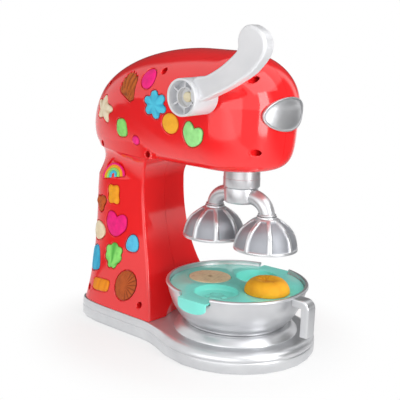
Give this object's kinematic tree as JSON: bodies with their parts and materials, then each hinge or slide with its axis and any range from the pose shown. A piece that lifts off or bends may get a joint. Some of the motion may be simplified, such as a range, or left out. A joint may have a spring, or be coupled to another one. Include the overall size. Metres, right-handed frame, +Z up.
{
  "type": "toy stand mixer for modelling clay",
  "caption": "Toy stand mixer with a side crank that spins bell beaters over a bowl with a lift-out mould tray, and clay pressed into moulds in its side.",
  "frame": {"origin": "on the table, on the axis of the spindle and of the bowl", "axes": "+Z up along the spindle, -Y towards the mixer's nose, -X towards the crank's side"},
  "size_m": [0.1705, 0.275, 0.32],
  "materials": {
    "red_plastic": "glossy moulded plastic",
    "silver_plastic": "silver-painted satin plastic",
    "pale_plastic": "pale grey satin plastic",
    "cream_plastic": "matt moulded plastic",
    "white_plastic": "plain natural plastic",
    "teal_plastic": "translucent glossy plastic",
    "steel": "plain steel",
    "tan_clay": "soft modelling clay, matt",
    "cream_clay": "soft modelling clay, matt",
    "orange_clay": "soft modelling clay, matt",
    "yellow_clay": "soft modelling clay, matt",
    "magenta_clay": "soft modelling clay, matt",
    "blue_clay": "soft modelling clay, matt",
    "green_clay": "soft modelling clay, matt",
    "brown_clay": "soft modelling clay, matt"
  },
  "bodies": {
    "housing": {"left_shell": "red_plastic", "right_shell": "red_plastic", "base_shell": "silver_plastic", "base_plate": "silver_plastic", "nose_plate": "silver_plastic", "clay_star": "cream_clay", "clay_fan_shell": "brown_clay", "clay_oval": "magenta_clay", "clay_blue_flower": "blue_clay", "clay_yellow_disc": "yellow_clay", "clay_green_heart": "green_clay", "clay_gumdrop": "green_clay", "clay_dot": "magenta_clay", "clay_rainbow": "magenta_clay", "clay_sweet": "yellow_clay", "clay_cluster": "brown_clay", "clay_magenta_heart": "magenta_clay", "clay_ellipse": "cream_clay", "clay_drop": "blue_clay", "clay_stick": "blue_clay", "clay_green_flower": "green_clay", "clay_block": "orange_clay", "clay_scallop": "brown_clay", "body_screw_crown": "steel", "body_screw_tail": "steel", "body_screw_nape": "steel", "body_screw_throat": "steel", "body_screw_nose": "steel", "body_screw_chin": "steel", "body_screw_foot_front": "steel", "body_screw_foot_rear": "steel", "base_screw_1": "steel", "base_screw_2": "steel", "base_screw_3": "steel", "base_screw_4": "steel", "spindle_bush": "white_plastic", "crank_bush": "white_plastic", "crank_end_bush": "white_plastic"},
    "crank": {"crank_handle": "pale_plastic", "crank_screw_cap": "cream_plastic", "crank_shaft": "steel", "crown_gear": "white_plastic"},
    "spindle": {"pinion_gear": "white_plastic", "spindle_shaft": "steel", "spindle_collar": "silver_plastic", "beater_carrier": "silver_plastic", "beater_bell_front": "silver_plastic", "beater_bell_rear": "silver_plastic"},
    "bowl": {"bowl": "silver_plastic"},
    "tray": {"bowl_tray": "teal_plastic", "clay_cookie": "tan_clay", "clay_donut": "orange_clay"}
  },
  "joints": [
    {"name": "crank_turn", "type": "hinge", "parent": "housing", "child": "crank", "pos_m": [0, 0, 0.254], "axis": [1, 0, 0], "continuous": true},
    {"name": "spindle_spin", "type": "hinge", "parent": "housing", "child": "spindle", "pos_m": [0, 0, 0.15], "axis": [0, 0, 1], "continuous": true},
    {"name": "bowl_slide", "type": "slide", "parent": "housing", "child": "bowl", "axis": [0, -1, 0], "range_m": [0, 0.15]},
    {"name": "tray_lift", "type": "slide", "parent": "bowl", "child": "tray", "axis": [0, 0, 1], "range_m": [0, 0.028]}
  ],
  "couplings": [
    {"joint": "spindle_spin", "follows": "crank_turn", "ratio": -2}
  ]
}
